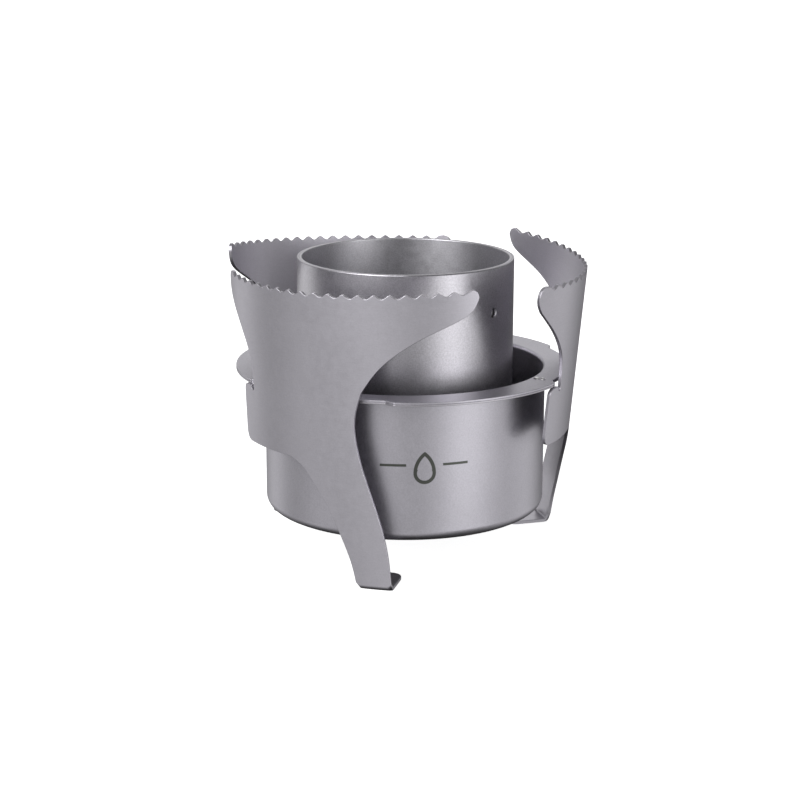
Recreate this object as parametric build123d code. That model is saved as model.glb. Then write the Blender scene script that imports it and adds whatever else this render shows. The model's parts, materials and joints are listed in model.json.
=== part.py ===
"""Spirit stove in thin titanium sheet, in millimetres.

A shallow drawn pot hangs by its flat rim on three rolled support plates, and a
double-walled side-jet burner stands on the pot's floor. The ground is z = 0, the
pot's axis is the Z axis, and the front is -Y. The three support plates are cut
and rolled alike and stand at 120 degree steps, each settled a little differently
in its slot. Azimuths are counter-clockwise from +X, and the first plate is the
one at the front left.
"""
from math import atan2, cos, degrees, pi, radians, sin
import os

from build123d import *

# Three-fold layout
COPIES = 3
STEP_DEG = 360.0 / COPIES

# Pot: drawn cup with a turned-out lip
POT_R = 39.1
POT_WALL = 0.6
POT_UNDERSIDE = 11.0
POT_CORNER = 2.8
LIP_TOP = 51.4
LIP_FOLD = 0.4
LIP_JOIN_R = 43.0

# Stiffening ring under the lip, cut to the same outline
RING_THICKNESS = 0.5
RING_BORE_R = 39.8

# Outline shared by the lip and the ring: three full-radius tabs with a recess
# between them for each support plate
TAB_R = 47.1
RECESS_R = 45.2
RECESS_START_DEG = 208.6
RECESS_END_DEG = 262.4
RECESS_START_SLOPE_DEG = 1.2
RECESS_END_SLOPE_DEG = 4.0
OUTLINE_FILLET = 1.2
PAST_EDGE = 4.0

# Tack welds on the lip, a pair at the start of each recess
WELD_DEG = 209.5
WELD_RADII = (40.9, 42.6)
WELD_R = (1.15, 0.8)
WELD_HEIGHT = 0.45

# Burner: outer cup and inner sleeve with a narrow fuel gap between them
BURNER_R = 30.0
BURNER_WALL = 0.6
BURNER_FLOOR = 0.6
BURNER_CORNER = 0.85
BURNER_TOP = 81.3
RIM_ROUND = 0.3
SEAM_ROUND = 0.12
JET_COUNT = 8
JET_R = 1.2
JET_ROUND = 0.3
JET_Z = 69.0
JET_FIRST_DEG = -39.0
SLEEVE_WALL = 0.5
FUEL_GAP = 0.3
COLLAR_SLOPE = 0.6
COLLAR_BAND = 1.6
FUEL_PORT_COUNT = 6
FUEL_PORT_R = 2.0

# Support plate: sheet rolled to a cylinder whose axis is offset and leaned
SHEET = 1.0
ROLL_INNER_R = 49.2
ROLL_MID_R = ROLL_INNER_R + SHEET / 2
ROLL_OUTER_R = ROLL_INNER_R + SHEET
ROLL_OFFSET = (2.66, 0.77)
LEAN_DEG = 3.03
LEAN_TOWARDS_DEG = 218.9
LEAN_PIVOT_Z = 49.87
BLANK_START_DEG = 196.4
BLANK_DROP = 47.9

# Slot of the first plate, and how each plate has settled in its own slot: turned in
# degrees about the outward, the sideways and the upright direction, and sunk in mm
SLOT_R = 47.06
SLOT_DEG = 207.4
SLOT_Z = 50.23
SETTLED = [(0.0, 0.0, 0.0, 0.0), (0.6, 2.5, 1.2, 0.1), (0.75, 2.5, 0.3, 0.5)]

# Blank of the support plate, flat. The first number runs along the sheet from
# the first tooth, the second is the height above the foot.
CREST = 79.8
TOOTH_PITCH = 4.1
TOOTH_DEPTH = 1.05
TOOTH_COUNT = 19
TOOTH_SHARPNESS = 0.8
TOOTH_STEPS = 8
NOSE = [(74.9, 79.2), (75.9, 78.8), (77.0, 79.2), (78.6, 79.9)]
NOSE_TIP = [(78.6, 79.9), (79.8, 79.3), (80.3, 77.8)]
ARM_UNDERSIDE = [
    (80.3, 77.8), (79.0, 75.1), (75.3, 72.5), (67.6, 69.3), (60.9, 65.8), (53.4, 59.8), (49.0, 53.9),
]
LEG_INSIDE = [
    (49.0, 53.9), (46.9, 46.5), (47.1, 40.1), (48.4, 33.6), (51.8, 21.8), (54.4, 9.2), (55.1, -3.0),
]
LEG_BOTTOM = [(55.1, -3.0), (46.2, -3.0)]
LEG_OUTSIDE = [
    (46.2, -3.0), (44.3, 6.9), (41.8, 14.1), (39.2, 20.2), (36.4, 25.1), (33.5, 29.1), (30.6, 32.5),
    (27.2, 34.3),
]
SKIRT_TO_LEG = [(27.2, 34.3), (26.2, 34.5), (25.2, 34.6)]
SKIRT_BOTTOM = [(25.2, 34.6), (8.2, 34.6)]
SKIRT_CORNER = [(8.2, 34.6), (6.3, 35.3), (5.5, 37.2)]
SKIRT_SIDE = [(5.5, 37.2), (5.6, 48.2)]
SHOULDER_CORNER = [(5.6, 48.2), (6.0, 49.9), (7.4, 50.7)]
SHOULDER_TOP = [(7.4, 50.7), (10.1, 50.7)]
RELIEF = [(10.1, 50.7), (10.3, 49.8), (10.9, 49.4), (11.5, 49.8), (11.6, 51.0)]
NECK = [(11.6, 51.0), (11.3, 55.0), (10.3, 59.0), (8.2, 62.5), (4.5, 66.7), (0.9, 70.0), (-2.2, 72.8)]
HEEL = [(-2.2, 72.8), (-3.5, 74.9), (-3.8, 77.2), (-2.9, 79.2), (-1.4, 79.9), (0.0, 79.8)]
FENCE_MARGIN = 1.0

# Foot: inward tab at the bottom of the leg
FOOT_FROM = 46.2
FOOT_TO = 55.1
FOOT_LENGTH = 12.8
FOOT_CORNER = 3.2
BEND_OUTER = 1.3
BEND_INNER = 0.5


def disc(radius, low, high):
    """Round bar on the Z axis between two heights."""
    upright = (Align.CENTER, Align.CENTER, Align.MIN)
    return Pos(0, 0, low) * Cylinder(radius, high - low, align=upright)


def polar(radius, angle_deg, height=0.0):
    """Point at a radius and an azimuth."""
    return (radius * cos(radians(angle_deg)), radius * sin(radians(angle_deg)), height)


def recess_cutter():
    """Flat region outside the recess radius, between one tab's end and the next tab's start."""
    outer = TAB_R + PAST_EDGE
    start_out = RECESS_START_DEG - RECESS_START_SLOPE_DEG * 2
    end_out = RECESS_END_DEG + RECESS_END_SLOPE_DEG * 2
    middle = (RECESS_START_DEG + RECESS_END_DEG) / 2
    inner_arc = ThreePointArc(
        polar(RECESS_R, RECESS_START_DEG),
        polar(RECESS_R, middle),
        polar(RECESS_R, RECESS_END_DEG),
    )
    outer_arc = ThreePointArc(
        polar(outer, start_out),
        polar(outer, middle),
        polar(outer, end_out),
    )
    sides = [
        Line(polar(RECESS_R, RECESS_START_DEG), polar(outer, start_out)),
        Line(polar(RECESS_R, RECESS_END_DEG), polar(outer, end_out)),
    ]
    return make_face([inner_arc, outer_arc] + sides)


def rim_outline():
    """Full-radius circle with the three recesses cut in and all corners rounded."""
    outline = Circle(TAB_R)
    cutter = recess_cutter()
    for index in range(COPIES):
        outline -= Rot(Z=index * STEP_DEG) * cutter
    return fillet(outline.vertices(), OUTLINE_FILLET)


def base_pot():
    """Drawn pot: floor, rounded corner, wall, folded lip and the flat rim."""
    inner = POT_R - POT_WALL
    lip_under = LIP_TOP - POT_WALL
    with BuildPart() as cup:
        with BuildSketch(Plane.XZ):
            with BuildLine():
                Polyline(
                    (0, POT_UNDERSIDE),
                    (POT_R, POT_UNDERSIDE),
                    (POT_R, lip_under),
                    (LIP_JOIN_R, lip_under),
                    (LIP_JOIN_R, LIP_TOP),
                    (inner, LIP_TOP),
                    (inner, POT_UNDERSIDE + POT_WALL),
                    (0, POT_UNDERSIDE + POT_WALL),
                    close=True,
                )
            face = make_face()
            vertices = face.vertices()
            fillet(at_corner(vertices, POT_R, POT_UNDERSIDE), POT_CORNER)
            fillet(at_corner(vertices, inner, POT_UNDERSIDE + POT_WALL), POT_CORNER - POT_WALL)
            fillet(at_corner(vertices, POT_R, lip_under), LIP_FOLD)
            fillet(at_corner(vertices, inner, LIP_TOP), LIP_FOLD + POT_WALL)
        revolve(axis=Axis.Z)
    rim = Pos(0, 0, lip_under) * extrude(rim_outline(), POT_WALL)
    rim -= disc(LIP_JOIN_R - 1.0, lip_under - 1, LIP_TOP + 1)
    return (cup.part + rim).solid()


def at_corner(vertices, radius, height):
    """The profile vertex at a radius and a height; the profile's own Y is the height."""
    near = 0.01
    return [
        v for v in vertices
        if abs(v.X - radius) < near and abs(max(v.Y, v.Z) - height) < near
    ]


def rim_ring():
    """Stiffening ring welded under the lip."""
    top = LIP_TOP - POT_WALL
    low = top - RING_THICKNESS
    ring = Pos(0, 0, low) * extrude(rim_outline(), RING_THICKNESS)
    return (ring - disc(RING_BORE_R, low - 1, top + 1)).solid()


def weld_bead(radius, height):
    """Low dome standing on z = 0."""
    ball_r = (radius**2 + height**2) / (2 * height)
    ball = Pos(0, 0, height - ball_r) * Sphere(ball_r)
    return (ball & disc(radius * 2, 0, height * 2)).solid()


def tack_welds():
    """A pair of beads on the lip at the start of each recess."""
    beads = []
    for index in range(COPIES):
        angle = WELD_DEG + index * STEP_DEG
        for distance, radius in zip(WELD_RADII, WELD_R):
            beads.append(Pos(*polar(distance, angle, LIP_TOP)) * weld_bead(radius, WELD_HEIGHT))
    return Compound(children=beads)


def burner_cup():
    """Outer wall and floor of the burner, with a ring of side jets."""
    floor_z = POT_UNDERSIDE + POT_WALL
    cup = disc(BURNER_R, floor_z, BURNER_TOP)
    cup = fillet(cup.edges().sort_by(Axis.Z)[0], BURNER_CORNER)
    hollow = disc(BURNER_R - BURNER_WALL, floor_z + BURNER_FLOOR, BURNER_TOP + 1)
    hollow = fillet(hollow.edges().sort_by(Axis.Z)[0], BURNER_CORNER - BURNER_WALL)
    cup -= hollow
    rim_edges = cup.edges().group_by(Axis.Z)[-1].sort_by(SortBy.RADIUS)
    cup = fillet(rim_edges[-1], RIM_ROUND)
    seam = cup.edges().group_by(Axis.Z)[-1].sort_by(SortBy.RADIUS)[0]
    cup = fillet(seam, SEAM_ROUND)
    jet = Cylinder(JET_R, BURNER_WALL * 4)
    for index in range(JET_COUNT):
        angle = JET_FIRST_DEG + index * 360.0 / JET_COUNT
        middle = BURNER_R - BURNER_WALL / 2
        cup -= Rot(Z=angle) * Pos(middle, 0, JET_Z) * Rot(Y=90) * jet
    mouths = [
        edge for edge in cup.edges()
        if abs(edge.center().Z - JET_Z) < JET_R and edge.length < 4 * pi * JET_R
        and edge.distance_to(Vertex(0, 0, JET_Z)) > BURNER_R - BURNER_WALL / 2
    ]
    return fillet(mouths, JET_ROUND).solid()


def inner_sleeve():
    """Inner wall: stands on the cup's floor, with a collar that seals the gap at the rim."""
    low = POT_UNDERSIDE + POT_WALL + BURNER_FLOOR
    seal_outer = BURNER_R - BURNER_WALL
    outer = seal_outer - FUEL_GAP
    inner = outer - SLEEVE_WALL
    band = BURNER_TOP - COLLAR_BAND
    with BuildPart() as sleeve:
        with BuildSketch(Plane.XZ):
            with BuildLine():
                Polyline(
                    (outer, low),
                    (outer, band - COLLAR_SLOPE),
                    (seal_outer, band),
                    (seal_outer, BURNER_TOP),
                    (inner, BURNER_TOP),
                    (inner, low),
                    close=True,
                )
            make_face()
        revolve(axis=Axis.Z)
    body = sleeve.part
    rim_edges = body.edges().group_by(Axis.Z)[-1].sort_by(SortBy.RADIUS)
    body = fillet(rim_edges[0], RIM_ROUND)
    seam = body.edges().group_by(Axis.Z)[-1].sort_by(SortBy.RADIUS)[-1]
    body = fillet(seam, SEAM_ROUND)
    port = Cylinder(FUEL_PORT_R, SLEEVE_WALL * 6)
    for index in range(FUEL_PORT_COUNT):
        angle = index * 360.0 / FUEL_PORT_COUNT
        body -= Rot(Z=angle) * Pos(outer, 0, low) * Rot(Y=90) * port
    return body.solid()


def roll_frame(index):
    """Place of one plate's rolled axis: offset from the pot's axis, leaned out and settled."""
    tip, lean_in, twist, sunk = SETTLED[index]
    slot = Pos(*polar(SLOT_R, SLOT_DEG, SLOT_Z)) * Rot(Z=SLOT_DEG)
    turn = Rot(X=tip) * Rot(Y=lean_in) * Rot(Z=twist)
    settled = slot * Pos(0, 0, -sunk) * turn * slot.inverse()
    lean = Rot(Z=LEAN_TOWARDS_DEG) * Rot(Y=LEAN_DEG) * Rot(Z=-LEAN_TOWARDS_DEG)
    return settled * Pos(0, 0, LEAN_PIVOT_Z) * lean * Pos(ROLL_OFFSET[0], ROLL_OFFSET[1], -BLANK_DROP)


def axis_on_ground(frame):
    """Where a leaned rolled axis meets the ground."""
    axis = Plane(frame)
    return axis.origin - axis.z_dir * (axis.origin.Z / axis.z_dir.Z)


def rolled_angle(along):
    """Azimuth about the rolled axis of a distance along the flat blank."""
    return BLANK_START_DEG + degrees(along / ROLL_MID_R)


def fence_face(points):
    """Radial face through one stretch of the blank's outline, wider than the sheet."""
    edges = []
    for radius in (ROLL_INNER_R - FENCE_MARGIN, ROLL_OUTER_R + FENCE_MARGIN):
        rolled = [Vector(*polar(radius, rolled_angle(along), height)) for along, height in points]
        edges.append(Edge.make_spline(rolled))
    return Face.make_surface_from_curves(edges[0], edges[1])


def crest_points():
    """Wavy pot-support crest, from the first tooth to the start of the nose."""
    points = []
    for index in range((TOOTH_COUNT - 1) * TOOTH_STEPS + 1):
        phase = 2 * pi * index / TOOTH_STEPS
        dip = TOOTH_DEPTH * ((1 - cos(phase)) / 2) ** TOOTH_SHARPNESS
        points.append((TOOTH_PITCH * index / TOOTH_STEPS, CREST - dip))
    return points + NOSE


def rolled_blank():
    """The blank as a rolled sheet standing on z = 0, before its foot is bent."""
    tall = CREST + 10
    ring = disc(ROLL_OUTER_R, -5, tall) - disc(ROLL_INNER_R, -6, tall + 1)
    leg = [LEG_INSIDE, LEG_BOTTOM, LEG_OUTSIDE]
    skirt = [SKIRT_TO_LEG, SKIRT_BOTTOM, SKIRT_CORNER, SKIRT_SIDE]
    shoulder = [SHOULDER_CORNER, SHOULDER_TOP, RELIEF]
    stretches = [crest_points(), NOSE_TIP, ARM_UNDERSIDE, *leg, *skirt, *shoulder, NECK, HEEL]
    fence = Shell([fence_face(points) for points in stretches])
    pieces = ring.solid().split(fence, keep=Keep.ALL)
    return min(pieces, key=lambda piece: piece.volume)


def foot_block(frame):
    """Upright block with the foot tab's outline, taller than the bend."""
    middle_deg = (rolled_angle(FOOT_FROM) + rolled_angle(FOOT_TO)) / 2
    outwards = (frame * Pos(*polar(1, middle_deg))).position - frame.position
    heading_deg = degrees(atan2(outwards.Y, outwards.X))
    half_angle = (rolled_angle(FOOT_TO) - rolled_angle(FOOT_FROM)) / 2
    width = 2 * ROLL_MID_R * sin(radians(half_angle))
    length = FOOT_LENGTH + PAST_EDGE
    outline = Rectangle(length, width, align=(Align.MIN, Align.CENTER))
    inner_corners = outline.vertices().group_by(Axis.X)[0]
    outline = fillet(inner_corners, FOOT_CORNER)
    block = extrude(Pos(ROLL_OUTER_R - FOOT_LENGTH, 0) * outline, SHEET + BEND_INNER)
    return Pos(axis_on_ground(frame)) * Rot(Z=heading_deg) * block


def rolled_solid(frame, radius, floor, bend):
    """Solid cylinder on a leaned axis, cut level at its floor and rounded there."""
    tall = CREST + 20
    bar = frame * disc(radius, -10, tall)
    bar = bar & Pos(0, 0, floor + tall) * Box(4 * radius, 4 * radius, 2 * tall)
    return fillet(bar.edges().sort_by(Axis.Z)[0], bend)


def support_plate(index):
    """One support plate, as settled in the first slot: rolled sheet with a level, bent foot."""
    frame = roll_frame(index)
    outer = rolled_solid(frame, ROLL_OUTER_R, 0.0, BEND_OUTER)
    inner = rolled_solid(frame, ROLL_INNER_R, SHEET, BEND_INNER)
    blank = frame * rolled_blank()
    return ((blank + foot_block(frame)) & (outer - inner)).solid()


def main():
    os.makedirs("parts", exist_ok=True)
    nodes = {
        "base_pot": base_pot(),
        "rim_ring": rim_ring(),
        "tack_welds": tack_welds(),
        "burner_cup": burner_cup(),
        "inner_sleeve": inner_sleeve(),
    }
    for index in range(COPIES):
        nodes[f"support_{index + 1}"] = Rot(Z=index * STEP_DEG) * support_plate(index)
    for name, shape in nodes.items():
        export_step(shape, f"parts/{name}.step")
        box = shape.bounding_box()
        print(name, round(shape.volume, 1), "mm3", [round(v, 2) for v in (*box.min, *box.max)])


main()
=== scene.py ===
"""Look of the spirit stove: bead-blasted and satin titanium under soft studio light.

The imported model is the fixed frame. The burner's cup, its sleeve and the weld beads
keep the CAD mesh. The pot, its ring and the three support plates are shown by finer
meshes of the same dimensions, with rounded cut edges. Every piece gets a procedural
titanium finish. Scene lengths are metres, the ground is z = 0 and the front is -Y.
"""
import json
import math

import bpy
import numpy as np
from mathutils import Matrix, Vector, geometry

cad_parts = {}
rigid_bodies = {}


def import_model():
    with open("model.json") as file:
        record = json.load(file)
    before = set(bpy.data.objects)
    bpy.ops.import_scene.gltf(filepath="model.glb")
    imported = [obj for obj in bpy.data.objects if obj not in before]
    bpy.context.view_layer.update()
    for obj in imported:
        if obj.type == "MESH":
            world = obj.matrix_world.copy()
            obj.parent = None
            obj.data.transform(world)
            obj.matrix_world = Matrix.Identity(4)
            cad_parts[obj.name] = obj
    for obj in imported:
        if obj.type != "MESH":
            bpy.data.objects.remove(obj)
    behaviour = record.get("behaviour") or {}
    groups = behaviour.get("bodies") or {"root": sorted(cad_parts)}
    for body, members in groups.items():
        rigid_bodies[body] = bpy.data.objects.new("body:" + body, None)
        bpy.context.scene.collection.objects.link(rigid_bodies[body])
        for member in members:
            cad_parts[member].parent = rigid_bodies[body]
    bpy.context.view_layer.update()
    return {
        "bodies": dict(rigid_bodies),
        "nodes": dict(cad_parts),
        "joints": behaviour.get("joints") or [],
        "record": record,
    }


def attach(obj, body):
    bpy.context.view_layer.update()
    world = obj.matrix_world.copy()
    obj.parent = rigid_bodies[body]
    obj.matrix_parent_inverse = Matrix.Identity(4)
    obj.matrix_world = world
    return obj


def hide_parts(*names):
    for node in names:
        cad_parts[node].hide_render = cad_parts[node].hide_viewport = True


# Camera, on the stove's front, a little above it
CAMERA_AT = Vector((-0.0109, -0.5231, 0.1742))
CAMERA_LENS = 86.42
SENSOR = 36.0
CLIP_NEAR = 0.01
CLIP_FAR = 100
CAMERA_PITCH = math.radians(14.374)
CAMERA_YAW = math.radians(1.042)
CAMERA_ROLL = math.radians(0.224)

# The finer meshes are laid out in millimetres; azimuths are counter-clockwise from +X
MM = 0.001
COPIES = 3

# Pot, its lip and the ring under it
POT_R = 39.1
POT_WALL = 0.6
POT_UNDERSIDE = 11.0
POT_CORNER = 2.8
LIP_TOP = 51.4
LIP_FOLD = 0.4
RING_THICKNESS = 0.5
RING_BORE_R = 39.8
TAB_R = 47.1
RECESS_R = 45.2
RECESS_START_DEG = 208.6
RECESS_END_DEG = 262.4
START_SHIFT_DEG = 0.77
END_SHIFT_DEG = 2.94
RECESS_LEAD_DEG = 4.0
OUTLINE_FILLET = 1.2
ARC_STEP_DEG = 1.0
CORNER_STEPS = 6
FOLD_STEPS = 4
LIP_EDGE = 0.12
RING_EDGE = 0.1

# Support plate: sheet rolled to a leaned cylinder
SHEET = 1.0
ROLL_OUTER_R = 50.2
ROLL_MID_R = 49.7
ROLL_OFFSET = (2.66, 0.77)
LEAN = math.radians(3.03)
LEAN_TOWARDS = math.radians(218.9)
LEAN_PIVOT_Z = 49.87
BLANK_START = math.radians(196.4)
BLANK_DROP = 47.9

# Slot of the first plate, and how each plate has settled in its own slot: turned in
# degrees about the outward, the sideways and the upright direction, and sunk in mm
SLOT_R = 47.06
SLOT = math.radians(207.4)
SLOT_Z = 50.23
SETTLED = [(0.0, 0.0, 0.0, 0.0), (0.6, 2.5, 1.2, 0.1), (0.75, 2.5, 0.3, 0.5)]

# Outline of the flat blank: distance along the sheet and height above the foot
CREST = 79.8
TOOTH_PITCH = 4.1
TOOTH_DEPTH = 1.05
TOOTH_COUNT = 19
TOOTH_SHARPNESS = 0.8
TOOTH_STEPS = 10
NOSE = [(74.9, 79.2), (75.9, 78.8), (77.0, 79.2), (78.6, 79.9)]
NOSE_TIP = [(78.6, 79.9), (79.8, 79.3), (80.3, 77.8)]
ARM_UNDERSIDE = [
    (80.3, 77.8), (79.0, 75.1), (75.3, 72.5), (67.6, 69.3), (60.9, 65.8), (53.4, 59.8), (49.0, 53.9),
]
LEG_INSIDE = [
    (49.0, 53.9), (46.9, 46.5), (47.1, 40.1), (48.4, 33.6), (51.8, 21.8), (54.4, 9.2), (54.9, 2.0),
]
LEG_OUTSIDE = [
    (45.3, 2.0), (44.3, 6.9), (41.8, 14.1), (39.2, 20.2), (36.4, 25.1), (33.5, 29.1), (30.6, 32.5),
    (27.2, 34.3),
]
SKIRT_TO_LEG = [(27.2, 34.3), (26.2, 34.5), (25.2, 34.6)]
SKIRT_BOTTOM = [(25.2, 34.6), (8.2, 34.6)]
SKIRT_CORNER = [(8.2, 34.6), (6.3, 35.3), (5.5, 37.2)]
SKIRT_SIDE = [(5.5, 37.2), (5.6, 48.2)]
SHOULDER_CORNER = [(5.6, 48.2), (6.0, 49.9), (7.4, 50.7)]
SHOULDER_TOP = [(7.4, 50.7), (10.1, 50.7)]
RELIEF = [(10.1, 50.7), (10.3, 49.8), (10.9, 49.4), (11.5, 49.8), (11.6, 51.0)]
NECK = [(11.6, 51.0), (11.3, 55.0), (10.3, 59.0), (8.2, 62.5), (4.5, 66.7), (0.9, 70.0), (-2.2, 72.8)]
HEEL = [(-2.2, 72.8), (-3.5, 74.9), (-3.8, 77.2), (-2.9, 79.2), (-1.4, 79.9), (0.0, 79.8)]

# Division of the blank into a mesh; the clearance from the outline counts in rows of
# the bend, and the mitre limit is a share of a corner's sharpness
OUTLINE_STEP = 0.35
PLATE_EDGE = 0.15
EDGE_PROBE = 0.01
GRID_ALONG = 1.5
GRID_UP = 4.0
GRID_FROM = -3.0
GRID_TO = 81.0
GRID_CLEARANCE = 2
FOOT_GRID_GAP = 1.0
SAME_POINT = 0.02
MITRE_LIMIT = 0.5

# Foot: the leg's end bent inwards to lie on the ground
FOOT_FROM = 46.2
FOOT_TO = 55.1
FOOT_LENGTH = 12.8
FOOT_CORNER = 3.2
BEND_R = 1.45
BEND_ROW = 0.16

# Plain etched mark on the pot's front: a flame between two bars
MARK_AZIMUTH_DEG = 276.6
MARK_Z = 32.4
MARK_COLOUR = (0.10, 0.105, 0.095, 1)
FLAME_R = 3.0
FLAME_OFFSET = 4.2
FLAME_BELLY = -2.2
FLAME_LINE = 0.95
BAR_MIDDLE = 8.4
BAR_LENGTH = 7.0
BAR_HEIGHT = 0.7
MARK_SOFTNESS = 0.06
MARK_REACH = 20.0

# Base colours of the metal surfaces
POT_COLOUR = (0.500, 0.486, 0.530)
RIM_COLOUR = (0.460, 0.446, 0.482)
BURNER_COLOUR = (0.530, 0.517, 0.553)
SLEEVE_COLOUR = (0.560, 0.552, 0.583)
SUPPORT_COLOUR = (0.510, 0.495, 0.538)
# The weld beads' near-white colour is partly their own bare metal and partly a painted glint
WELD_AND_GLINT_COLOUR = (0.97, 0.96, 0.96)

# Titanium finish: the range that noise keeps to, its scales in cells per metre, and
# how far the sheen varies
NOISE_LOW = 0.25
NOISE_HIGH = 0.75
CLOUD_SCALE = 70.0
PATCH_SCALE = 620.0
BRUSH_SCALE = 3800.0
BRUSH_STRETCH = (0.12, 0.12, 1.0)
SHEEN_SPREAD = 0.03
BUMP_DEPTH = 0.00004
QUARTER_TURN = 0.25

# Studio: soft panels all round, as azimuth and elevation in degrees and strength
PANELS = [
    ("high_left", -134, 30, 10.2),
    ("key_right", -41, 10, 5.3),
    ("table_front_left", -98, -30, 0.85),
    ("table_front_right", -62, -30, 0.75),
    ("table_left", -170, -30, 1.15),
    ("table_right", 10, -30, 0.5),
    ("low_right", -16, -10, 0.6),
    ("rim_right", 28, -10, 1.2),
    ("rim_left", 139, -10, 1.4),
    ("front_left", -118, -18, 0.65),
    ("top", 90, 85, 0.5),
    ("back_low", 88, -2, 0.3),
    ("back_right", 82, 30, 1.35),
    ("back_left", 118, 30, 0.9),
]
PANEL_TIGHTNESS = 16.0
AMBIENT = 0.02
FLOOR_SIZE = 14.0
FLOOR_GLOW = 0.85
FLOOR_WHITE = 0.8
FLOOR_ROUGHNESS = 0.9
BACKGROUND_WHITE = 1.0


def link(tree, source, target):
    """Joins an output socket to an input socket."""
    tree.links.new(source, target)


def add_node(tree, kind, **values):
    """New node, with its own properties set."""
    node = tree.nodes.new(kind)
    for name, value in values.items():
        setattr(node, name, value)
    return node


def math_node(tree, operation, first, second=None):
    """Math node on sockets or numbers; gives its output socket."""
    node = add_node(tree, "ShaderNodeMath", operation=operation)
    for index, value in enumerate((first, second)):
        if value is None:
            continue
        if isinstance(value, (int, float)):
            node.inputs[index].default_value = value
        else:
            link(tree, value, node.inputs[index])
    return node.outputs[0]


def noise(tree, coordinates, scale, detail=2.0, roughness=0.5):
    """Noise texture's factor output at a scale in cells per metre."""
    node = add_node(tree, "ShaderNodeTexNoise")
    node.inputs["Scale"].default_value = scale
    node.inputs["Detail"].default_value = detail
    node.inputs["Roughness"].default_value = roughness
    link(tree, coordinates, node.inputs["Vector"])
    return node.outputs["Fac"]


def spread(tree, value, low, high):
    """Maps a noise factor, which stays near a half, to a range."""
    node = add_node(tree, "ShaderNodeMapRange")
    node.inputs["From Min"].default_value = NOISE_LOW
    node.inputs["From Max"].default_value = NOISE_HIGH
    node.inputs["To Min"].default_value = low
    node.inputs["To Max"].default_value = high
    link(tree, value, node.inputs["Value"])
    return node.outputs[0]


def stretched(tree, coordinates, scale):
    """Coordinates scaled by different amounts along X, Y and Z."""
    node = add_node(tree, "ShaderNodeMapping")
    node.inputs["Scale"].default_value = scale
    link(tree, coordinates, node.inputs["Vector"])
    return node.outputs["Vector"]


def greatest(tree, first, second):
    """Larger of two sockets or numbers."""
    return math_node(tree, "MAXIMUM", first, second)


def distance_to(tree, across, up, centre):
    """Distance from a point of the mark's own plane, in millimetres."""
    side = math_node(tree, "SUBTRACT", across, centre[0])
    rise = math_node(tree, "SUBTRACT", up, centre[1])
    side = math_node(tree, "MULTIPLY", side, side)
    rise = math_node(tree, "MULTIPLY", rise, rise)
    return math_node(tree, "SQRT", math_node(tree, "ADD", side, rise))


def below(tree, value, limit):
    """One where a distance is under a limit, zero over it, with a fine soft edge."""
    node = add_node(tree, "ShaderNodeMapRange")
    node.inputs["From Min"].default_value = limit - MARK_SOFTNESS
    node.inputs["From Max"].default_value = limit + MARK_SOFTNESS
    node.inputs["To Min"].default_value = 1.0
    node.inputs["To Max"].default_value = 0.0
    link(tree, value, node.inputs["Value"])
    return node.outputs[0]


def flame_mark(tree, where):
    """Mask of the mark: the outline of a plain flame between two bars, on the outer skin only."""
    turned = add_node(tree, "ShaderNodeVectorRotate", rotation_type="Z_AXIS")
    turned.inputs["Angle"].default_value = -math.radians(MARK_AZIMUTH_DEG)
    link(tree, where, turned.inputs["Vector"])
    split = add_node(tree, "ShaderNodeSeparateXYZ")
    link(tree, turned.outputs[0], split.inputs[0])
    angle = math_node(tree, "ARCTAN2", split.outputs["Y"], split.outputs["X"])
    across = math_node(tree, "MULTIPLY", angle, POT_R)
    height = math_node(tree, "DIVIDE", split.outputs["Z"], MM)
    up = math_node(tree, "SUBTRACT", height, MARK_Z)

    left = distance_to(tree, across, up, (-FLAME_OFFSET, FLAME_BELLY))
    right = distance_to(tree, across, up, (FLAME_OFFSET, FLAME_BELLY))
    point = math_node(tree, "SUBTRACT", greatest(tree, left, right), FLAME_OFFSET + FLAME_R)
    over = math_node(tree, "SUBTRACT", FLAME_BELLY, up)
    point = greatest(tree, point, over)
    belly = math_node(tree, "SUBTRACT", distance_to(tree, across, up, (0.0, FLAME_BELLY)), FLAME_R)
    flame = math_node(tree, "MINIMUM", point, belly)
    rim = math_node(tree, "SUBTRACT", below(tree, flame, 0.0), below(tree, flame, -FLAME_LINE))

    sideways = math_node(tree, "ABSOLUTE", across)
    bar_end = math_node(tree, "ABSOLUTE", math_node(tree, "SUBTRACT", sideways, BAR_MIDDLE))
    bar = greatest(
        tree,
        math_node(tree, "SUBTRACT", math_node(tree, "ABSOLUTE", up), BAR_HEIGHT / 2),
        math_node(tree, "SUBTRACT", bar_end, BAR_LENGTH / 2),
    )
    front = math_node(tree, "COMPARE", across, 0.0)
    front.node.inputs[2].default_value = MARK_REACH
    marks = math_node(tree, "ADD", rim, below(tree, bar, 0.0))
    outer = distance_to(tree, split.outputs["X"], split.outputs["Y"], (0.0, 0.0))
    skin = math_node(tree, "GREATER_THAN", outer, (POT_R - POT_WALL / 2) * MM)
    return math_node(tree, "MULTIPLY", math_node(tree, "MULTIPLY", marks, front), skin)


def blasted_shade(tree, where, fine, patch, speckle, mottle, brush):
    """Brightness from place to place, around one: speckle, mottling and brush lines."""
    cloud = noise(tree, where, CLOUD_SCALE, detail=3.0)
    shade = spread(tree, fine, 1 - speckle, 1 + speckle)
    shade = math_node(tree, "MULTIPLY", shade, spread(tree, cloud, 1 - mottle, 1 + mottle))
    shade = math_node(tree, "MULTIPLY", shade, spread(tree, patch, 1 - mottle / 2, 1 + mottle / 2))
    if brush:
        lines = noise(tree, stretched(tree, where, BRUSH_STRETCH), BRUSH_SCALE, detail=2.0)
        shade = math_node(tree, "MULTIPLY", shade, spread(tree, lines, 1 - brush, 1 + brush))
    return shade


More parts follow.
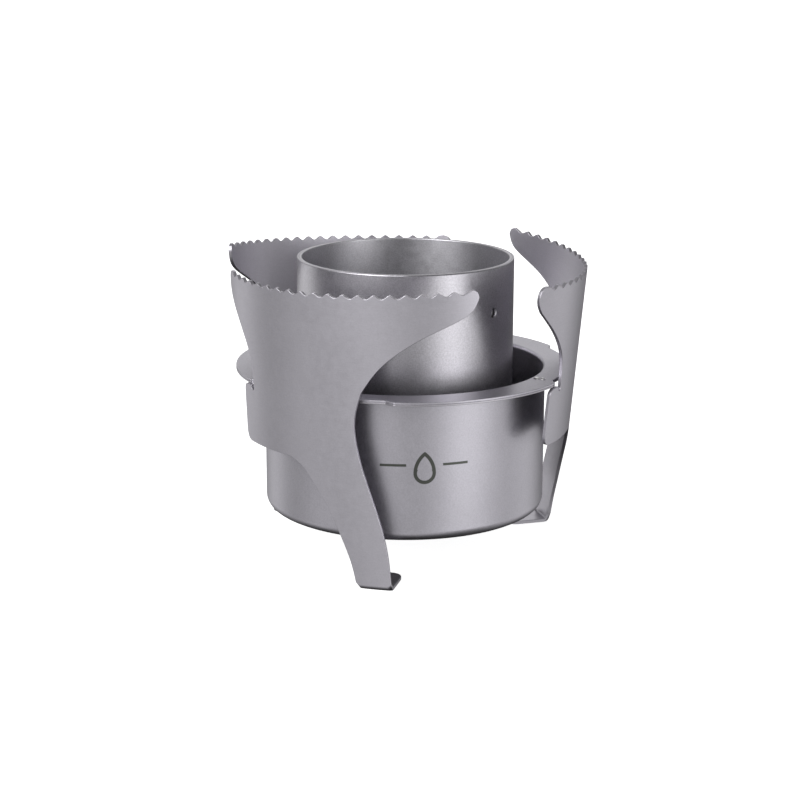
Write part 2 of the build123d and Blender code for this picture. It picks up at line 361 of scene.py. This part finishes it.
def titanium(
    name, colour, roughness,
    speckle=0.06, mottle=0.03, bump=0.25, grain=2600.0, brush=0.0, turned=0.0, mark=False,
):
    """Blasted titanium: fine speckle, soft mottling, uneven sheen and a fine bump.

    brush adds fine level lines, turned draws highlights out as on a turned surface,
    and mark adds the etched mark.
    """
    material = bpy.data.materials.new(name)
    material.use_nodes = True
    tree = material.node_tree
    shader = tree.nodes["Principled BSDF"]
    shader.inputs["Metallic"].default_value = 1.0
    where = add_node(tree, "ShaderNodeTexCoord").outputs["Object"]

    fine = noise(tree, where, grain, detail=3.0, roughness=0.65)
    patch = noise(tree, where, PATCH_SCALE, detail=2.0)
    shade = blasted_shade(tree, where, fine, patch, speckle, mottle, brush)
    tint = add_node(tree, "ShaderNodeVectorMath", operation="SCALE")
    tint.inputs[0].default_value = colour
    link(tree, shade, tint.inputs["Scale"])
    surface = tint.outputs[0]
    if mark:
        etched = add_node(tree, "ShaderNodeMix", data_type="RGBA")
        etched.inputs[7].default_value = MARK_COLOUR
        link(tree, flame_mark(tree, where), etched.inputs[0])
        link(tree, surface, etched.inputs[6])
        surface = etched.outputs[2]
    link(tree, surface, shader.inputs["Base Color"])

    if turned:
        around = add_node(tree, "ShaderNodeTangent", direction_type="RADIAL", axis="Z")
        link(tree, around.outputs[0], shader.inputs["Tangent"])
        shader.inputs["Anisotropic"].default_value = turned
        shader.inputs["Anisotropic Rotation"].default_value = QUARTER_TURN

    sheen = spread(tree, patch, roughness - SHEEN_SPREAD, roughness + SHEEN_SPREAD)
    link(tree, sheen, shader.inputs["Roughness"])

    relief = add_node(tree, "ShaderNodeBump")
    relief.inputs["Strength"].default_value = bump
    relief.inputs["Distance"].default_value = BUMP_DEPTH
    link(tree, fine, relief.inputs["Height"])
    link(tree, relief.outputs[0], shader.inputs["Normal"])
    return material


def natural_spline(points, step):
    """Points along a smooth curve through the given ones, about a step apart."""
    knots = np.array(points, float)
    gaps = np.linalg.norm(np.diff(knots, axis=0), axis=1)
    t = np.concatenate(([0.0], np.cumsum(gaps)))
    count = len(knots)
    if count < 3:
        bend = np.zeros_like(knots)
    else:
        system = np.eye(count)
        target = np.zeros_like(knots)
        for i in range(1, count - 1):
            system[i, i - 1:i + 2] = (gaps[i - 1], 2 * (gaps[i - 1] + gaps[i]), gaps[i])
            slope_after = (knots[i + 1] - knots[i]) / gaps[i]
            slope_before = (knots[i] - knots[i - 1]) / gaps[i - 1]
            target[i] = 6 * (slope_after - slope_before)
        bend = np.linalg.solve(system, target)
    result = []
    for u in np.linspace(0, t[-1], max(2, int(round(t[-1] / step)) + 1)):
        i = min(np.searchsorted(t, u, side="right") - 1, count - 2)
        h, a, b = gaps[i], t[i + 1] - u, u - t[i]
        cubic = (bend[i] * a**3 + bend[i + 1] * b**3) / (6 * h)
        straight = (knots[i] / h - bend[i] * h / 6) * a + (knots[i + 1] / h - bend[i + 1] * h / 6) * b
        result.append(tuple(cubic + straight))
    return result


def crest_line():
    """Wavy crest from the first tooth to the start of the nose."""
    teeth = []
    for index in range((TOOTH_COUNT - 1) * TOOTH_STEPS + 1):
        phase = 2 * math.pi * index / TOOTH_STEPS
        dip = TOOTH_DEPTH * ((1 - math.cos(phase)) / 2) ** TOOTH_SHARPNESS
        teeth.append((TOOTH_PITCH * index / TOOTH_STEPS, CREST - dip))
    return teeth + natural_spline([teeth[-1]] + NOSE, OUTLINE_STEP)[1:]


def plate_frame(index):
    """Place of one plate's rolled sheet in the first slot: leaned out and settled."""
    tip, lean_in, twist, sunk = SETTLED[index]
    at = Vector((SLOT_R * math.cos(SLOT), SLOT_R * math.sin(SLOT), SLOT_Z))
    slot = Matrix.Translation(at) @ Matrix.Rotation(SLOT, 4, "Z")
    settled = slot @ Matrix.Translation((0, 0, -sunk))
    for angle, axis in ((tip, "X"), (lean_in, "Y"), (twist, "Z")):
        settled = settled @ Matrix.Rotation(math.radians(angle), 4, axis)
    across = Vector((-math.sin(LEAN_TOWARDS), math.cos(LEAN_TOWARDS), 0))
    leaned = Matrix.Translation((0, 0, LEAN_PIVOT_Z)) @ Matrix.Rotation(LEAN, 4, across)
    return np.array(settled @ slot.inverted() @ leaned)


def on_roll(azimuth, height, radius, frame):
    """Point of the rolled sheet at an azimuth, a height along its axis and a radius."""
    x = ROLL_OFFSET[0] + radius * math.cos(azimuth)
    y = ROLL_OFFSET[1] + radius * math.sin(azimuth)
    return (frame @ np.array((x, y, height - BLANK_DROP, 1.0)))[:3]


def sheet_azimuth(along):
    """Azimuth of a distance along the flat blank."""
    return BLANK_START + along / ROLL_MID_R


def ground_height(along, frame):
    """Height on the blank at which the sheet's outer skin meets the ground."""
    foot = on_roll(sheet_azimuth(along), 0.0, ROLL_OUTER_R, frame)
    return -foot[2] / frame[2, 2]


def foot_facts(frame):
    """Directions and lengths of the bend between the leg and the foot."""
    azimuth = sheet_azimuth((FOOT_FROM + FOOT_TO) / 2)
    inward = frame[:3, :3] @ np.array((-math.cos(azimuth), -math.sin(azimuth), 0))
    inward = np.array((inward[0], inward[1], 0)) / math.hypot(inward[0], inward[1])
    up = frame[:3, 2]
    opening = math.acos(float(up @ inward))
    return {
        "inward": inward,
        "turn": math.pi - opening,
        "tangent": BEND_R / math.tan(opening / 2),
        "arc": (BEND_R - SHEET / 2) * (math.pi - opening),
    }


def place_on_plate(along, height, depth, frame, foot):
    """Place in space of a point of the flat blank, at a depth below the outer skin."""
    azimuth = sheet_azimuth(along)
    above = height - ground_height(along, frame)
    if above >= foot["tangent"]:
        return on_roll(azimuth, height, ROLL_OUTER_R - depth, frame)
    corner = on_roll(azimuth, height - above, ROLL_OUTER_R, frame)
    up, inward, turn = frame[:3, 2], foot["inward"], foot["turn"]
    outward = up * float(inward @ up) - inward
    outward /= np.linalg.norm(outward)
    centre = corner + up * foot["tangent"] - outward * BEND_R
    run = foot["tangent"] - above
    turned = turn * min(run / foot["arc"], 1.0)
    spoke = outward * math.sin(turn - turned) + np.array((0, 0, -1.0)) * math.sin(turned)
    point = centre + spoke / math.sin(turn) * (BEND_R - depth)
    return point + inward * max(run - foot["arc"], 0.0)


def foot_outline(frame, foot):
    """Outline of the foot on the flat blank, from the leg's inner edge to its outer edge."""
    reach = FOOT_LENGTH - 2 * foot["tangent"] + foot["arc"]
    points = [(FOOT_TO, ground_height(FOOT_TO, frame))]
    for middle, first in ((FOOT_TO - FOOT_CORNER, 0), (FOOT_FROM + FOOT_CORNER, 90)):
        for index in range(CORNER_STEPS + 1):
            swing = math.radians(first + 90 * index / CORNER_STEPS)
            along = middle + FOOT_CORNER * math.cos(swing)
            below = reach - FOOT_CORNER + FOOT_CORNER * math.sin(swing)
            points.append((along, ground_height(along, frame) - below))
    points.append((FOOT_FROM, ground_height(FOOT_FROM, frame)))
    return points


def without_repeats(points):
    """Closed outline without neighbours in nearly the same place."""
    kept = []
    for point in points:
        if not kept or math.dist(point, kept[-1]) > SAME_POINT:
            kept.append(point)
    if math.dist(kept[0], kept[-1]) <= SAME_POINT:
        kept.pop()
    return kept


def blank_outline(frame, foot):
    """Closed outline of the flat blank, clockwise seen from outside."""
    points = crest_line()
    for stretch in (NOSE_TIP, ARM_UNDERSIDE, LEG_INSIDE):
        points += natural_spline(stretch, OUTLINE_STEP)
    points += foot_outline(frame, foot)
    for stretch in (
        LEG_OUTSIDE, SKIRT_TO_LEG, SKIRT_BOTTOM, SKIRT_CORNER, SKIRT_SIDE,
        SHOULDER_CORNER, SHOULDER_TOP, RELIEF, NECK, HEEL,
    ):
        points += natural_spline(stretch, OUTLINE_STEP)
    return without_repeats(points)


def outward_normals(points, side):
    """Unit normals of a closed outline, lengthened at corners so that offsets stay parallel."""
    outline = np.array(points, float)
    after = np.roll(outline, -1, axis=0) - outline
    after /= np.linalg.norm(after, axis=1)[:, None]
    before = np.roll(after, 1, axis=0)
    left_after = np.stack((-after[:, 1], after[:, 0]), axis=1) * side
    left_before = np.stack((-before[:, 1], before[:, 0]), axis=1) * side
    middle = left_after + left_before
    middle /= np.linalg.norm(middle, axis=1)[:, None]
    stretch = np.clip(np.sum(middle * left_after, axis=1), MITRE_LIMIT, 1.0)
    return middle / stretch[:, None]


def inside(points, outline):
    """Which points lie inside a closed outline."""
    ax, ay = outline[:, 0], outline[:, 1]
    bx, by = np.roll(ax, -1), np.roll(ay, -1)
    x, y = points[:, 0][:, None], points[:, 1][:, None]
    spans = (ay > y) != (by > y)
    crossing = ax + (y - ay) * (bx - ax) / np.where(by == ay, 1e-12, by - ay)
    return (np.sum(spans & (x < crossing), axis=1) % 2) == 1


def grid_points(outline, frame, foot):
    """Points of the blank's skin inside its outline, closer together round the bend."""
    rows = list(np.arange(GRID_UP, CREST + GRID_UP, GRID_UP))
    base = ground_height((FOOT_FROM + FOOT_TO) / 2, frame)
    rows += list(base + np.arange(foot["tangent"] - foot["arc"], foot["tangent"] + BEND_ROW, BEND_ROW))
    rows += list(base + np.arange(-FOOT_LENGTH, -FOOT_GRID_GAP, GRID_ALONG))
    columns = np.arange(GRID_FROM, GRID_TO, GRID_ALONG)
    points = np.array([(along, height) for height in rows for along in columns])
    points = points[inside(points, outline)]
    gaps = np.linalg.norm(points[:, None, :] - outline[None, :, :], axis=2).min(axis=1)
    return points[gaps > BEND_ROW * GRID_CLEARANCE]


def skin_mesh(inset, frame, foot):
    """Points and triangles of the blank inside its inset outline."""
    flat = [tuple(p) for p in inset] + [tuple(p) for p in grid_points(inset, frame, foot)]
    ring = list(range(len(inset)))
    skin = geometry.delaunay_2d_cdt([Vector(p) for p in flat], [], [ring], 1, 1e-6)
    return skin[0], skin[2]


def skin_normal(along, height, out, frame, foot):
    """Direction that the sheet's outer or inner skin faces at a point of the blank."""
    outer = place_on_plate(along, height, 0.0, frame, foot)
    inner = place_on_plate(along, height, SHEET, frame, foot)
    return (outer - inner) / np.linalg.norm(outer - inner) * out


def edge_normal(along, height, beyond, frame, foot):
    """Direction that the cut edge faces at a point of the blank's outline."""
    step = beyond * EDGE_PROBE
    beside = place_on_plate(along + step[0], height + step[1], SHEET / 2, frame, foot)
    edge = beside - place_on_plate(along, height, SHEET / 2, frame, foot)
    return edge / np.linalg.norm(edge)


def edge_rows():
    """Rows over the cut edge: distance back, depth, skin it starts from and lean to the edge."""
    soft = PLATE_EDGE * (1 - math.sqrt(0.5))
    return [
        (PLATE_EDGE, 0.0, 1, 0.0),
        (soft, soft, 1, 0.5),
        (0.0, PLATE_EDGE, 1, 1.0),
        (0.0, SHEET - PLATE_EDGE, -1, 1.0),
        (soft, SHEET - soft, -1, 0.5),
        (PLATE_EDGE, SHEET, -1, 0.0),
    ]


def plate_mesh(name, index):
    """One support plate in its own slot: two skins and a rounded cut edge."""
    frame = plate_frame(index)
    foot = foot_facts(frame)
    outline = np.array(blank_outline(frame, foot))
    count = len(outline)
    normals = outward_normals(outline, 1)
    skin_points, triangles = skin_mesh(outline - normals * PLATE_EDGE, frame, foot)
    turn = np.array(Matrix.Rotation(math.tau * index / COPIES, 3, "Z"))
    points, shading, faces = [], [], []

    def add(along, height, depth, normal):
        """One vertex, turned into the plate's own slot."""
        points.append(turn @ place_on_plate(along, height, depth, frame, foot) * MM)
        shading.append(turn @ normal / np.linalg.norm(normal))

    for depth, out in ((0.0, 1), (SHEET, -1)):
        first = len(points)
        for p in skin_points:
            add(p.x, p.y, depth, skin_normal(p.x, p.y, out, frame, foot))
        for triangle in triangles:
            order = triangle if out > 0 else triangle[::-1]
            faces.append([first + i for i in order])

    starts = []
    for back, depth, out, lean in edge_rows():
        starts.append(len(points))
        for p, n in zip(outline, normals):
            along, height = p - n * back
            facing = skin_normal(along, height, out, frame, foot) * (1 - lean)
            add(along, height, depth, facing + edge_normal(along, height, n, frame, foot) * lean)
    for low, high in zip(starts, starts[1:]):
        for i in range(count):
            j = (i + 1) % count
            faces.append((low + i, low + j, high + j, high + i))
    return finished_mesh(name, points, faces, shading)


def finished_mesh(name, points, faces, shading):
    """Smooth-shaded mesh with the given shading normals, one for each point."""
    mesh = bpy.data.meshes.new(name)
    mesh.from_pydata([tuple(p) for p in points], [], faces)
    mesh.shade_smooth()
    mesh.normals_split_custom_set_from_vertices([tuple(n) for n in shading])
    mesh.update()
    return mesh


def arc(centre_r, centre_z, radius, start, end, steps, hollow=False):
    """Profile rows along an arc: radius, height and the direction the surface faces."""
    rows = []
    for index in range(steps + 1):
        angle = math.radians(start + (end - start) * index / steps)
        faces = angle + (math.pi if hollow else 0)
        along_r = centre_r + radius * math.cos(angle)
        along_z = centre_z + radius * math.sin(angle)
        rows.append(("round", along_r, along_z, faces))
    return rows


def outline_edge(low, high, radius):
    """Profile rows over the rounded outer edge of a sheet between two heights."""
    rows = []
    for centre, start in ((low + radius, -90), (high - radius, 0)):
        for index in range(FOLD_STEPS + 1):
            angle = math.radians(start + 90 * index / FOLD_STEPS)
            back = radius * (1 - math.cos(angle))
            rows.append(("outline", back, centre + radius * math.sin(angle), angle))
    return rows


def polar(radius, degrees):
    """Point of the plane at a radius and an azimuth."""
    return np.array((radius * math.cos(math.radians(degrees)), radius * math.sin(math.radians(degrees))))


def corner_arc(before, corner, after, radius):
    """Points that round a corner between two directions."""
    a = (before - corner) / np.linalg.norm(before - corner)
    b = (after - corner) / np.linalg.norm(after - corner)
    opening = math.acos(float(a @ b))
    reach = radius / math.tan(opening / 2)
    start, end = corner + a * reach, corner + b * reach
    points = []
    for index in range(CORNER_STEPS + 1):
        t = index / CORNER_STEPS
        points.append(tuple(start * (1 - t) ** 2 + corner * 2 * t * (1 - t) + end * t**2))
    return points, math.degrees(reach / np.linalg.norm(corner))


def arc_points(radius, start, end):
    """Points along a circle between two azimuths."""
    count = max(2, int(round(abs(end - start) / ARC_STEP_DEG)))
    return [tuple(polar(radius, start + (end - start) * i / count)) for i in range(count + 1)]


def rim_outline():
    """Rim seen from above, counter-clockwise: three tabs with a recess between them."""
    points = []
    start_top = RECESS_START_DEG - START_SHIFT_DEG
    end_top = RECESS_END_DEG + END_SHIFT_DEG
    past_start = RECESS_START_DEG + RECESS_LEAD_DEG
    short_of_end = RECESS_END_DEG - RECESS_LEAD_DEG
    for index in range(COPIES):
        turn = index * 360 / COPIES
        corners = [
            (TAB_R, start_top - RECESS_LEAD_DEG, TAB_R, start_top, RECESS_R, RECESS_START_DEG),
            (TAB_R, start_top, RECESS_R, RECESS_START_DEG, RECESS_R, past_start),
            (RECESS_R, short_of_end, RECESS_R, RECESS_END_DEG, TAB_R, end_top),
            (RECESS_R, RECESS_END_DEG, TAB_R, end_top, TAB_R, end_top + RECESS_LEAD_DEG),
        ]
        rounded = []
        for r0, a0, r1, a1, r2, a2 in corners:
            before = polar(r0, a0 + turn)
            after = polar(r2, a2 + turn)
            rounded.append(corner_arc(before, polar(r1, a1 + turn), after, OUTLINE_FILLET))
        (drop, away), (step_in, after_in), (step_out, before_out), (rise, after_rise) = rounded
        points += drop + step_in
        recess_from = RECESS_START_DEG + after_in + turn
        points += arc_points(RECESS_R, recess_from, RECESS_END_DEG - before_out + turn)
        points += step_out + rise
        points += arc_points(TAB_R, end_top + after_rise + turn, start_top - away + turn + 360 / COPIES)
    return without_repeats(points)


def lathe(name, rows, closed):
    """Turned mesh whose outer rows follow the rim's outline and whose others are circles."""
    outline = np.array(rim_outline())
    normals = outward_normals(outline, -1)
    azimuths = np.arctan2(outline[:, 1], outline[:, 0])
    count = len(outline)
    points, shading, faces = [], [], []
    for kind, value, height, tilt in rows:
        for k in range(count):
            spoke = np.array((math.cos(azimuths[k]), math.sin(azimuths[k])))
            place = outline[k] - normals[k] * value if kind == "outline" else spoke * value
            out = normals[k] / np.linalg.norm(normals[k]) if kind == "outline" else spoke
            points.append((place[0] * MM, place[1] * MM, height * MM))
            shading.append((out[0] * math.cos(tilt), out[1] * math.cos(tilt), math.sin(tilt)))
    pairs = [(i, i + 1) for i in range(len(rows) - 1)]
    if closed:
        pairs.append((len(rows) - 1, 0))
    for low, high in pairs:
        for k in range(count):
            m = (k + 1) % count
            faces.append((low * count + k, low * count + m, high * count + m, high * count + k))
    if not closed:
        for row, up in ((0, -1), (len(rows) - 1, 1)):
            centre = len(points)
            points.append((0, 0, rows[row][2] * MM))
            shading.append((0, 0, up))
            for k in range(count):
                m = (k + 1) % count
                edge = (row * count + k, row * count + m)
                faces.append((centre, *(edge if up > 0 else edge[::-1])))
    return finished_mesh(name, points, faces, shading)


def pot_mesh(name):
    """Drawn pot: floor, rounded corner, wall, folded lip and the flat rim's rounded edge."""
    inner = POT_R - POT_WALL
    under = LIP_TOP - POT_WALL
    bend_r = POT_R - POT_CORNER
    bend_z = POT_UNDERSIDE + POT_CORNER
    fold_r = POT_R + LIP_FOLD
    fold_z = under - LIP_FOLD
    down, up = -math.pi / 2, math.pi / 2
    rows = [("round", bend_r / 2, POT_UNDERSIDE, down)]
    rows += arc(bend_r, bend_z, POT_CORNER, -90, 0, CORNER_STEPS + 2)
    rows += arc(fold_r, fold_z, LIP_FOLD, 180, 90, FOLD_STEPS, hollow=True)
    rows += outline_edge(under, LIP_TOP, LIP_EDGE)
    rows += arc(fold_r, fold_z, LIP_FOLD + POT_WALL, 90, 180, CORNER_STEPS + 2)
    rows += arc(bend_r, bend_z, POT_CORNER - POT_WALL, 0, -90, CORNER_STEPS + 2, hollow=True)
    rows += [("round", bend_r / 2, POT_UNDERSIDE + POT_WALL, up)]
    return lathe(name, rows, closed=False)


def ring_mesh(name):
    """Stiffening ring under the lip."""
    top = LIP_TOP - POT_WALL
    low = top - RING_THICKNESS
    bore = RING_BORE_R + RING_EDGE
    rows = outline_edge(low, top, RING_EDGE)
    rows += arc(bore, top - RING_EDGE, RING_EDGE, 90, 180, FOLD_STEPS)
    rows += arc(bore, low + RING_EDGE, RING_EDGE, 180, 270, FOLD_STEPS)
    return lathe(name, rows, closed=True)


def dress(nodes, name, material):
    """Gives a CAD node that stays visible its material."""
    node = nodes[name]
    node.data.materials.clear()
    node.data.materials.append(material)


def stand_in(mesh, node, body, material):
    """Shows a finer mesh in a CAD node's place."""
    mesh.materials.append(material)
    piece = bpy.data.objects.new(mesh.name, mesh)
    bpy.context.scene.collection.objects.link(piece)
    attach(piece, body)
    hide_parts(node)
    return piece


def add_camera():
    """Camera at the stove's front, looking slightly down."""
    data = bpy.data.cameras.new("camera")
    data.lens = CAMERA_LENS
    data.sensor_width = SENSOR
    data.clip_start = CLIP_NEAR
    data.clip_end = CLIP_FAR
    camera = bpy.data.objects.new("camera", data)
    bpy.context.scene.collection.objects.link(camera)
    forward = Vector((
        math.sin(CAMERA_YAW) * math.cos(CAMERA_PITCH),
        math.cos(CAMERA_YAW) * math.cos(CAMERA_PITCH),
        -math.sin(CAMERA_PITCH),
    ))
    level = Vector((math.cos(CAMERA_YAW), -math.sin(CAMERA_YAW), 0))
    upward = level.cross(forward)
    right = level * math.cos(CAMERA_ROLL) + upward * math.sin(CAMERA_ROLL)
    up = upward * math.cos(CAMERA_ROLL) - level * math.sin(CAMERA_ROLL)
    axes = Matrix((right, up, -forward)).transposed()
    camera.matrix_world = Matrix.Translation(CAMERA_AT) @ axes.to_4x4()
    bpy.context.scene.camera = camera


def direction(azimuth, elevation):
    """Unit vector towards an azimuth and an elevation in degrees."""
    a, e = math.radians(azimuth), math.radians(elevation)
    return (math.cos(a) * math.cos(e), math.sin(a) * math.cos(e), math.sin(e))


def studio_world(panels, ambient):
    """Soft panels of light all round the stove, and a plain white backdrop."""
    world = bpy.data.worlds.new("studio")
    bpy.context.scene.world = world
    world.use_nodes = True
    tree = world.node_tree
    tree.nodes.clear()
    ray = add_node(tree, "ShaderNodeTexCoord").outputs["Generated"]
    total = None
    for _, azimuth, elevation, strength in panels:
        facing = add_node(tree, "ShaderNodeVectorMath", operation="DOT_PRODUCT")
        link(tree, ray, facing.inputs[0])
        facing.inputs[1].default_value = direction(azimuth, elevation)
        away = math_node(tree, "SUBTRACT", facing.outputs["Value"], 1.0)
        falloff = math_node(tree, "MULTIPLY", away, PANEL_TIGHTNESS)
        glow = math_node(tree, "MULTIPLY", math_node(tree, "EXPONENT", falloff), strength)
        total = glow if total is None else math_node(tree, "ADD", total, glow)
    total = math_node(tree, "ADD", total, ambient)
    light = add_node(tree, "ShaderNodeBackground")
    link(tree, total, light.inputs["Strength"])
    backdrop = add_node(tree, "ShaderNodeBackground")
    backdrop.inputs["Strength"].default_value = BACKGROUND_WHITE
    mix = add_node(tree, "ShaderNodeMixShader")
    path = add_node(tree, "ShaderNodeLightPath")
    output = add_node(tree, "ShaderNodeOutputWorld")
    link(tree, path.outputs["Is Camera Ray"], mix.inputs[0])
    link(tree, light.outputs[0], mix.inputs[1])
    link(tree, backdrop.outputs[0], mix.inputs[2])
    link(tree, mix.outputs[0], output.inputs[0])


def floor_material():
    """Matt white table, lifted a little so that it reads as white."""
    material = bpy.data.materials.new("table_white")
    material.use_nodes = True
    material.cycles.emission_sampling = "NONE"
    shader = material.node_tree.nodes["Principled BSDF"]
    shader.inputs["Base Color"].default_value = (FLOOR_WHITE, FLOOR_WHITE, FLOOR_WHITE, 1)
    shader.inputs["Roughness"].default_value = FLOOR_ROUGHNESS
    shader.inputs["Specular IOR Level"].default_value = 0.0
    shader.inputs["Emission Color"].default_value = (1, 1, 1, 1)
    shader.inputs["Emission Strength"].default_value = FLOOR_GLOW
    return material


def add_floor():
    """Plain pale floor on the ground, which the metal doesn't mirror."""
    half = FLOOR_SIZE / 2
    corners = [(-half, -half, 0), (half, -half, 0), (half, half, 0), (-half, half, 0)]
    mesh = bpy.data.meshes.new("floor")
    mesh.from_pydata(corners, [], [(0, 1, 2, 3)])
    mesh.materials.append(floor_material())
    floor = bpy.data.objects.new("floor", mesh)
    bpy.context.scene.collection.objects.link(floor)
    floor.visible_glossy = False


def dress_stove(nodes):
    """Gives every CAD node its finish, or shows a finer mesh in its place."""
    pot = titanium("pot_titanium_look", POT_COLOUR, 0.40, speckle=0.11, mark=True)
    rim = titanium("rim_titanium_look", RIM_COLOUR, 0.40, speckle=0.12)
    burner = titanium("burner_titanium_look", BURNER_COLOUR, 0.38, speckle=0.20)
    sleeve = titanium("sleeve_titanium_look", SLEEVE_COLOUR, 0.40, speckle=0.18, turned=0.35)
    support = titanium("support_titanium_look", SUPPORT_COLOUR, 0.42, speckle=0.06, brush=0.03)
    # Weld beads: their near-white base colour paints a glint onto them
    weld_and_glint = titanium("weld_and_painted_glint_look", WELD_AND_GLINT_COLOUR, 0.22, bump=0.6, grain=1500.0)
    stand_in(pot_mesh("pot_shell"), "base_pot", "pot", pot)
    stand_in(ring_mesh("rim_stiffener"), "rim_ring", "pot", rim)
    dress(nodes, "burner_cup", burner)
    dress(nodes, "inner_sleeve", sleeve)
    dress(nodes, "tack_welds", weld_and_glint)
    for index in range(COPIES):
        number = index + 1
        mesh = plate_mesh(f"support_plate_{number}", index)
        stand_in(mesh, f"support_{number}", f"support_{number}_body", support)


def main():
    """Sets the camera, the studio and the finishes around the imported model."""
    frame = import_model()
    bpy.context.scene.view_settings.view_transform = "Standard"
    add_camera()
    studio_world(PANELS, AMBIENT)
    add_floor()
    dress_stove(frame["nodes"])


main()
